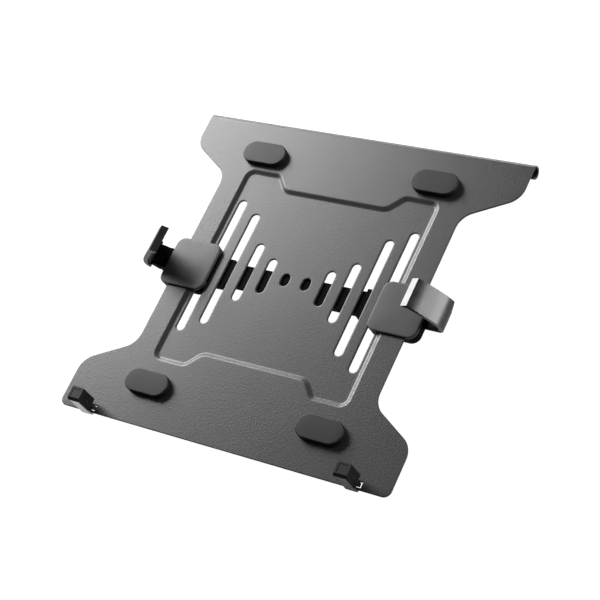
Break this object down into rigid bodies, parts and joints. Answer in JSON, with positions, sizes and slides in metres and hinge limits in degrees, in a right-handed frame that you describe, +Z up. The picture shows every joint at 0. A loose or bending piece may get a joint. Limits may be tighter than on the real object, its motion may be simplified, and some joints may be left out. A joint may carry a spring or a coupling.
{
  "type": "laptop tray mount",
  "caption": "Pressed steel laptop tray with slotted sunken panel, rolled rear hem, rubber pads, front stops and sprung sliding side clamps.",
  "frame": {"origin": "centre of the slot pattern, on the top of the sunken panel", "axes": "+X to the right of a person using the laptop, +Y to the rear hem, +Z up out of the panel"},
  "size_m": [0.283, 0.2673, 0.0411],
  "materials": {
    "tray_steel": "satin powder coat",
    "pad_rubber": "matte",
    "stop_rubber": "matte",
    "strap_steel": "satin, dark plated",
    "clamp_plastic": "fine satin",
    "rail_plastic": "matte",
    "screw_steel": "plated",
    "spring_steel": "bright"
  },
  "bodies": {
    "tray": {"tray_plate": "tray_steel", "rear_left_pad": "pad_rubber", "rear_right_pad": "pad_rubber", "front_left_pad": "pad_rubber", "front_right_pad": "pad_rubber", "left_stop_strap": "strap_steel", "left_stop_cap": "stop_rubber", "left_stop_pin": "screw_steel", "right_stop_strap": "strap_steel", "right_stop_cap": "stop_rubber", "right_stop_pin": "screw_steel", "centre_rail": "rail_plastic", "spring_anchor_pins": "screw_steel", "left_clamp_cover": "clamp_plastic", "left_clamp_base": "rail_plastic", "left_clamp_screws": "screw_steel", "right_clamp_cover": "clamp_plastic", "right_clamp_base": "rail_plastic", "right_clamp_screws": "screw_steel", "left_tension_spring": "spring_steel", "right_tension_spring": "spring_steel"},
    "left_clamp": {"left_slide_arm": "rail_plastic", "left_claw": "clamp_plastic", "left_claw_liner": "stop_rubber", "left_claw_screws": "screw_steel"},
    "right_clamp": {"right_slide_arm": "rail_plastic", "right_claw": "clamp_plastic", "right_claw_liner": "stop_rubber", "right_claw_screws": "screw_steel"}
  },
  "joints": [
    {"name": "left_clamp_slide", "type": "slide", "parent": "tray", "child": "left_clamp", "axis": [-1, 0, 0], "range_m": [0, 0.08], "stiffness_N_per_m": 30, "springref_m": -0.1, "deforming": ["left_tension_spring"]},
    {"name": "right_clamp_slide", "type": "slide", "parent": "tray", "child": "right_clamp", "axis": [1, 0, 0], "range_m": [-0.0035, 0.0765], "stiffness_N_per_m": 30, "springref_m": -0.1035, "deforming": ["right_tension_spring"]}
  ]
}
